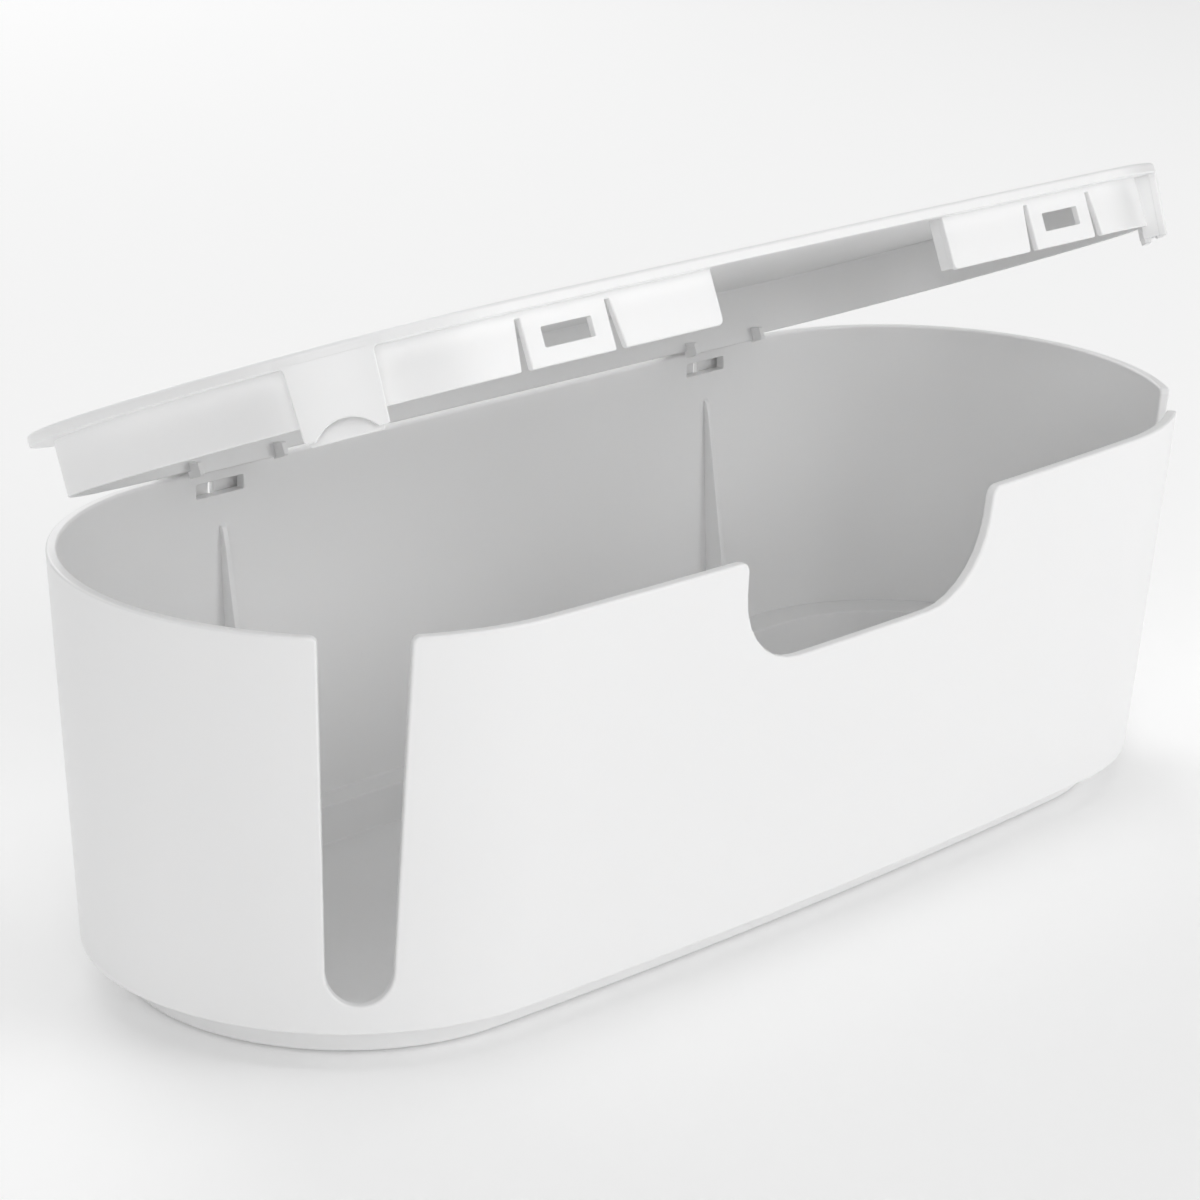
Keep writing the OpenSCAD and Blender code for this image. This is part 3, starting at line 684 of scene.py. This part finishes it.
def toRest(xyz, out):
    # turns the shut lid about its pin and lifts it: the turn * (point - shut pin) + raised pin
    h = hingeSize
    a = -h["tilt"]
    turn = np.array([[1, 0, 0], [0, math.cos(a), -math.sin(a)], [0, math.sin(a), math.cos(a)]])
    shut, raised = np.array([0, h["pinY"], h["pinShut"]]), np.array([0, h["pinY"], h["pinRaised"]])
    return (xyz - shut) @ turn.T + raised, out @ turn.T


def skirtEdge():
    # the skirt's lower edge in (s, z), walked so that the wall is on the right: from the front gap's right end round
    # the back to its left end, with the latch slits, the deeper panels behind the slot covers and the deeper
    # lengths at the hinges
    d, f = lidSize, fingerSize
    low = d["skirtLow"]

    def slit(s, toward):
        # a slit upwards from the edge, slanted on the side that toward names
        wide, narrow = toward * f["slitLow"], toward * f["slitTop"]
        high, mouth, top = f["slitHigh"], f["mouthRound"], f["slitRound"]
        bends = [(wide, low, mouth), (narrow, high, top), (0, high, top), (0, low, mouth)]
        return [(s + x, z, r) for x, z, r in (bends if toward > 0 else bends[::-1])]

    def deeper(s, wide, z, r):
        # a length of the edge that hangs lower, with corner rounds no larger than a share of its depth
        r = min(r, (low - z) * d["deeperRound"])
        return [(s + x * wide / 2, h, r) for x, h in ((1, low), (1, z), (-1, z), (-1, low))]

    start, end, left, right = (frontAt(x) for x in (-d["gapHalf"], d["gapHalf"], -f["x"], f["x"]))
    half, hinge = f["wide"] / 2, tubSize["hingeX"]
    bends = [(start + girth, d["hidden"], 0), (start + girth, low, d["gapRound"])]
    bends += slit(left + girth + half, 1) + slit(left + girth - half, -1)
    bends += deeper(slotCentre(-1) + girth, d["backWide"], d["backLow"], d["backRound"])
    bends += deeper(girth + hinge, d["armWide"], d["tongueLow"], d["tongueRound"])
    bends += deeper(girth - hinge, d["armWide"], d["tongueLow"], d["tongueRound"])
    bends += deeper(slotCentre(1), d["backWide"], d["backLow"], d["backRound"])
    bends += slit(right + half, 1) + slit(right - half, -1)
    bends += [(end, low, d["gapRound"]), (end, d["hidden"], 0)]
    path = roundPath([(s, z) for s, z, r in bends], [r for s, z, r in bends])
    return subdivide(path, atColumns=True)


def topLine(z):
    # closes a sheet along a hidden level line inside the lid's plate
    def line(loop):
        a, b = loop[-1, 0], loop[0, 0]
        inside = columnsBetween(min(a, b) + plan["columnClear"], max(a, b) - plan["columnClear"])
        if a > b:
            inside = inside[::-1]
        return np.column_stack([inside, np.full(len(inside), z)])
    return line


def coverWall(s, z, w, flatNormal):
    # place for a slot cover: it follows the tub's lean below the rim and moves out with height over the band, whose
    # own face leans back
    xyz, out = leaning(s, np.minimum(z, tubSize["rim"]), w, flatNormal)
    xyz[:, 2] = z
    point, normal, radius = outlineAt(s)
    xyz[:, :2] -= normal * (coverSize["skinLean"] * np.maximum(z - tubSize["rim"], 0))[:, None]
    return xyz, out


def slotCover(side):
    # a cover over a corner slot, as wide as the slot less its clearance, with a finger notch in its lower edge, a
    # fillet on each side under the band, and a web along each side
    c = coverSize
    centre, clear, edge = slotCentre(side), c["clear"], lidSize["edgeRound"]
    low, high, under, fillet = c["low"], c["high"], lidSize["under"] - 0.05, c["fillet"]
    foot, top = slotHalf(low) - clear, slotHalf(high) - clear
    shoulder = top + fillet + c["side"]
    r, middle = c["notchRound"], low + c["notchHigh"] - c["notchRound"]
    reach = math.acos((low - middle) / r)
    notch = [(r * math.sin(q), middle + r * math.cos(q)) for q in np.linspace(reach, -reach, c["notchSteps"])]
    right = [(shoulder, high), (shoulder, under), (top, under), (foot, low)]
    corners = right + notch + [(-x, z) for x, z in right[::-1]]
    rounds = [0, c["shoulder"], fillet, c["footRound"]]
    radii = rounds + [c["notchEnd"]] + [c["notchBend"]] * (len(notch) - 2) + [c["notchEnd"]] + rounds[::-1]
    path = subdivide(roundPath([(centre + x, z) for x, z in corners], radii), atColumns=True)
    patches = panel(path, topLine(high), c["thick"], (edge, edge), coverWall, c["levels"],
                    start=-c["skinProud"], capHeight=high)
    webLow, webHigh = low + c["webRise"], lidSize["hidden"]
    a, b = slotHalf(webLow) - c["webClear"], slotHalf(webHigh) - c["webClear"]
    web = [(a, webLow), (b, webHigh), (b - c["webThick"], webHigh), (a - c["webThick"], webLow)]
    for s in (-1, 1):
        patches += prism([(centre + s * u, z) for u, z in web], c["webRounds"], c["webFrom"], c["webTo"],
                         c["webEdge"], leaning)
    return patches


def hingeLug(x):
    # a bored block on the pin, and a short gusset with a sloped top at each end of the deeper length of skirt
    d, h = lidSize, hingeSize
    inner, low, top = plan["rearRadius"] - d["skirtInset"] - d["skirt"], d["tongueLow"], h["gussetTop"]
    deep, behind, drop = inner - h["gussetDeep"], inner + h["gussetBack"], h["gussetDrop"]
    gusset = [(deep, low), (deep + drop, low - drop), (behind, low - drop), (behind, top),
              (deep, top - h["gussetSlope"])]
    front, back, foot = h["pinY"] - h["lugHalf"], h["pinY"] + h["lugHalf"], h["pinShut"] - h["lugHalf"]
    lug = [(front, foot), (back, foot), (back, h["lugTop"]), (h["lugFront"], h["lugTop"]),
           (h["lugFront"], h["lugStep"]), (front, h["lugStep"])]
    # the bore's square has corner rounds that leave a trace of each side, which makes it a circle
    bore = (rectangle(h["pinY"], h["pinShut"], 2 * h["bore"], 2 * h["bore"]), h["bore"] - 0.005)
    patches = prism(lug, h["lugRounds"], x - h["lugWide"] / 2, x + h["lugWide"] / 2, h["lugEdge"], axisMap("yzx"),
                    [bore])
    for s in (-1, 1):
        end = x + s * d["armWide"] / 2
        patches += prism(gusset, h["gussetRounds"], end - h["gussetThick"] / 2, end + h["gussetThick"] / 2,
                         h["gussetEdge"], axisMap("yzx"))
    return patches


def buildLid():
    d, f, r = lidSize, fingerSize, returnSize
    plate, inset, edge, deep = d["plateEdge"], d["skirtInset"], d["edgeRound"], d["bandDeep"]

    # band and plate
    profile = [(plate, d["plateUnder"]), (deep + d["bandDraft"], d["plateUnder"]), (deep, d["under"]),
               (0, d["under"]), (d["bandLean"], d["top"]), (plate, d["top"])]
    patches = [sweepRing(roundPath(profile, d["bandRounds"]), upright, -1),
               flatCap([outlineLoop(plate)], d["plateUnder"], -1.0), flatCap([outlineLoop(plate)], d["top"], 1.0)]

    # skirt, with a window in each latch finger
    windows = [(rectangle(s, f["windowMiddle"], f["windowWide"], f["windowHigh"]), f["windowCorner"], f["windowEdge"])
               for s in (frontAt(-f["x"]) + girth, frontAt(f["x"]))]
    patches += panel(skirtEdge(), topLine(d["hidden"]), d["skirt"], (edge, edge), upright, d["levels"], windows,
                     start=inset, capHeight=d["hidden"])

    # slot covers, hinge lugs, and short walls that return from the skirt at the ends of the front gap
    for side in (-1, 1):
        patches += slotCover(side) + hingeLug(side * tubSize["hingeX"])
        a, b = sorted((side * (d["gapHalf"] + r["inner"]), side * (d["gapHalf"] + r["outer"])))
        patches += prism([(a, r["front"]), (b, r["front"]), (b, r["back"]), (a, r["back"])], r["round"], r["low"],
                         r["high"], r["edgeRound"], axisMap("xyz"))
    return makePiece("lid", patches, toRest)


lid = buildLid()
for piece, body, node, slot in ((tub, "tub", "tub_shell", "tub_plastic"), (lid, "lid", "lid_shell", "lid_plastic")):
    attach(piece, body)
    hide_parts(node)


# small edge rounds on the frame's own hinge arms and feet
def softenEdges(piece, width):
    # welds the corners that lie together and bevels the sharp edges by a width in millimetres
    weld = piece.modifiers.new("joinCorners", "WELD")
    weld.merge_threshold = 1e-5
    bevel = piece.modifiers.new("softEdges", "BEVEL")
    bevel.width = width * 0.001
    bevel.segments = 3
    bevel.limit_method = "ANGLE"
    bevel.angle_limit = math.radians(35)
    bevel.harden_normals = True


for name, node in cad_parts.items():
    if name.startswith("hinge_arm"):
        softenEdges(node, 0.3)
    elif name.startswith("rubber_foot"):
        softenEdges(node, 0.4)


# materials
def hexColour(text):
    # sRGB hex to a linear colour
    parts = [int(text[i:i + 2], 16) / 255 for i in (0, 2, 4)]
    return tuple(v / 12.92 if v <= 0.04045 else ((v + 0.055) / 1.055) ** 2.4 for v in parts) + (1,)


def addNode(tree, kind, settings=None, links=None):
    # a new node with its properties or input values set, and sockets of other nodes linked to its inputs
    node = tree.nodes.new(kind)
    for key, value in (settings or {}).items():
        if isinstance(key, str) and hasattr(node, key):
            setattr(node, key, value)
        else:
            node.inputs[key].default_value = value
    for key, socket in (links or {}).items():
        tree.links.new(socket, node.inputs[key])
    return node


def newMaterial(name):
    # a material, its tree, its surface shader and the object's own coordinates
    material = bpy.data.materials.new(name)
    material.use_nodes = True
    tree = material.node_tree
    return material, tree, tree.nodes["Principled BSDF"], addNode(tree, "ShaderNodeTexCoord").outputs["Object"]


def perMetre(millimetres):
    # noise scale for a feature of that size, in object coordinates in metres
    return 1000 / millimetres


def mouldedWhite(name, colour, roughness, grain, ripple):
    # injection-moulded white ABS: a soft satin white whose reflections blur over a fine spark-eroded grain and waver
    # a little where the wall shrank as it cooled
    material, tree, surface, place = newMaterial(name)
    light = hexColour(colour)
    dark = [c * 0.985 for c in light[:3]] + [1]
    cloud = addNode(tree, "ShaderNodeTexNoise", {"Scale": perMetre(70), "Detail": 2.0}, {"Vector": place})
    tint = addNode(tree, "ShaderNodeMix", {"data_type": "RGBA", 6: dark, 7: light}, {0: cloud.outputs["Fac"]})
    tree.links.new(tint.outputs[2], surface.inputs["Base Color"])
    # grain is about 0.2 mm on the real moulding and is drawn at 0.7 mm so that it shows
    fine = addNode(tree, "ShaderNodeTexNoise", {"Scale": perMetre(0.7), "Detail": 2.0, "Roughness": 0.6},
                   {"Vector": place})
    spread = {"From Min": 0.3, "From Max": 0.7, "To Min": roughness - 0.015, "To Max": roughness + 0.015}
    gloss = addNode(tree, "ShaderNodeMapRange", spread, {"Value": fine.outputs["Fac"]})
    tree.links.new(gloss.outputs["Result"], surface.inputs["Roughness"])
    wave = addNode(tree, "ShaderNodeTexNoise", {"Scale": perMetre(55), "Detail": 1.0}, {"Vector": place})
    slow = addNode(tree, "ShaderNodeBump", {"Strength": 0.35, "Distance": ripple * 0.001},
                   {"Height": wave.outputs["Fac"]})
    quick = addNode(tree, "ShaderNodeBump", {"Strength": 0.25, "Distance": grain * 0.001},
                    {"Height": fine.outputs["Fac"], "Normal": slow.outputs["Normal"]})
    tree.links.new(quick.outputs["Normal"], surface.inputs["Normal"])
    surface.inputs["IOR"].default_value = 1.53
    surface.inputs["Subsurface Weight"].default_value = 0.06
    surface.inputs["Subsurface Radius"].default_value = (1.2, 1.1, 1.0)
    surface.inputs["Subsurface Scale"].default_value = 0.0012
    return material


def drawnSteel():
    # drawn steel wire: bright, with fine lines along its length that stretch its highlight
    material, tree, surface, place = newMaterial("drawnSteelWire")
    along = addNode(tree, "ShaderNodeMapping", {"Scale": (0.05, 1, 1)}, {"Vector": place})
    lines = addNode(tree, "ShaderNodeTexNoise", {"Scale": perMetre(0.25), "Detail": 3.0},
                    {"Vector": along.outputs["Vector"]})
    gloss = addNode(tree, "ShaderNodeMapRange", {"To Min": 0.3, "To Max": 0.42}, {"Value": lines.outputs["Fac"]})
    tree.links.new(gloss.outputs["Result"], surface.inputs["Roughness"])
    dent = addNode(tree, "ShaderNodeBump", {"Strength": 0.3, "Distance": 0.00003}, {"Height": lines.outputs["Fac"]})
    tree.links.new(dent.outputs["Normal"], surface.inputs["Normal"])
    surface.inputs["Base Color"].default_value = hexColour("C9CCD0")
    surface.inputs["Metallic"].default_value = 1.0
    return material


def pressedRubber():
    # pressed rubber: near black and dull, with a dusty bloom in its fine pits
    material, tree, surface, place = newMaterial("pressedRubber")
    pits = addNode(tree, "ShaderNodeTexNoise", {"Scale": perMetre(0.6), "Detail": 4.0, "Roughness": 0.65},
                   {"Vector": place})
    bloom = addNode(tree, "ShaderNodeMix", {"data_type": "RGBA", 6: hexColour("2A2B2D"), 7: hexColour("1A1B1D")},
                    {0: pits.outputs["Fac"]})
    tree.links.new(bloom.outputs[2], surface.inputs["Base Color"])
    dent = addNode(tree, "ShaderNodeBump", {"Strength": 0.5, "Distance": 0.00008}, {"Height": pits.outputs["Fac"]})
    tree.links.new(dent.outputs["Normal"], surface.inputs["Normal"])
    surface.inputs["Roughness"].default_value = 0.78
    surface.inputs["IOR"].default_value = 1.52
    return material


finishes = {
    "tub": mouldedWhite("satinWhiteAbsTub", "F8F8F8", 0.32, 0.006, 0.05),
    "lid": mouldedWhite("satinWhiteAbsLid", "F8F8F8", 0.31, 0.004, 0.06),
    "hinge_arm": mouldedWhite("satinWhiteAbsArm", "F6F6F6", 0.35, 0.005, 0.03),
    "hinge_pin": drawnSteel(), "rubber_foot": pressedRubber()}
for piece in list(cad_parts.values()) + [tub, lid]:
    for start, material in finishes.items():
        if piece.name.startswith(start):
            piece.data.materials.clear()
            piece.data.materials.append(material)
print("materials set")

# floor and light
studio = {
    "floorColour": "FBFBFB", "floorHalf": 9.0, "floorGlow": 0.08, "fromAbove": 0.42, "fromBehind": 0.6,
    "lampSize": 1.6,
    "lamps": {
        "key": ((1.14, -2.13, 0.94), 17.0), "fill": ((-1.8, -1.69, 1.04), 17.0), "side": ((2.16, -1.14, 0.89), 6.5),
        "top": ((0.0, -0.35, 2.58), 10.0), "back": ((0.8, 2.05, 1.4), 15.0)}}


def makeFloor():
    # a wide pale floor that glows a little, as a light table does
    h = studio["floorHalf"]
    mesh = bpy.data.meshes.new("floor")
    mesh.from_pydata([(-h, -h, 0), (h, -h, 0), (h, h, 0), (-h, h, 0)], [], [(0, 1, 2, 3)])
    floor = bpy.data.objects.new("floor", mesh)
    bpy.context.scene.collection.objects.link(floor)
    material, tree, surface, place = newMaterial("paleStudioFloor")
    surface.inputs["Base Color"].default_value = hexColour(studio["floorColour"])
    surface.inputs["Roughness"].default_value = 0.9
    surface.inputs["Specular IOR Level"].default_value = 0.1
    surface.inputs["Emission Color"].default_value = (1, 1, 1, 1)
    surface.inputs["Emission Strength"].default_value = studio["floorGlow"]
    mesh.materials.append(material)


def makeLight():
    # an overcast studio: the sky's strength is a share of how far up a direction points, plus a share of how far
    # back, and one round soft lamp per entry aims at the box
    world = bpy.data.worlds.new("studio")
    bpy.context.scene.world = world
    world.use_nodes = True
    tree = world.node_tree
    direction = addNode(tree, "ShaderNodeTexCoord").outputs["Generated"]
    around = addNode(tree, "ShaderNodeSeparateXYZ", None, {"Vector": direction})
    up = addNode(tree, "ShaderNodeMath", {"operation": "MAXIMUM", 1: 0.0}, {0: around.outputs["Z"]})
    back = addNode(tree, "ShaderNodeMath", {"operation": "MAXIMUM", 1: 0.0}, {0: around.outputs["Y"]})
    behind = addNode(tree, "ShaderNodeMath", {"operation": "MULTIPLY", 1: studio["fromBehind"]}, {0: back.outputs[0]})
    level = addNode(tree, "ShaderNodeMath", {"operation": "MULTIPLY_ADD", 1: studio["fromAbove"]},
                    {0: up.outputs[0], 2: behind.outputs[0]})
    background = tree.nodes["Background"]
    background.inputs["Color"].default_value = (1, 1, 1, 1)
    tree.links.new(level.outputs[0], background.inputs["Strength"])
    for name, (stand, watts) in studio["lamps"].items():
        lamp = bpy.data.lights.new(name, "AREA")
        lamp.shape = "DISK"
        lamp.size = studio["lampSize"]
        lamp.energy = watts
        holder = bpy.data.objects.new(name, lamp)
        aim = Vector(stand).to_track_quat("Z", "Y").to_matrix().to_4x4()
        holder.matrix_world = Matrix.Translation(stand) @ aim
        bpy.context.scene.collection.objects.link(holder)


makeFloor()
makeLight()
bpy.context.scene.view_settings.view_transform = "Standard"
print("floor and light set")
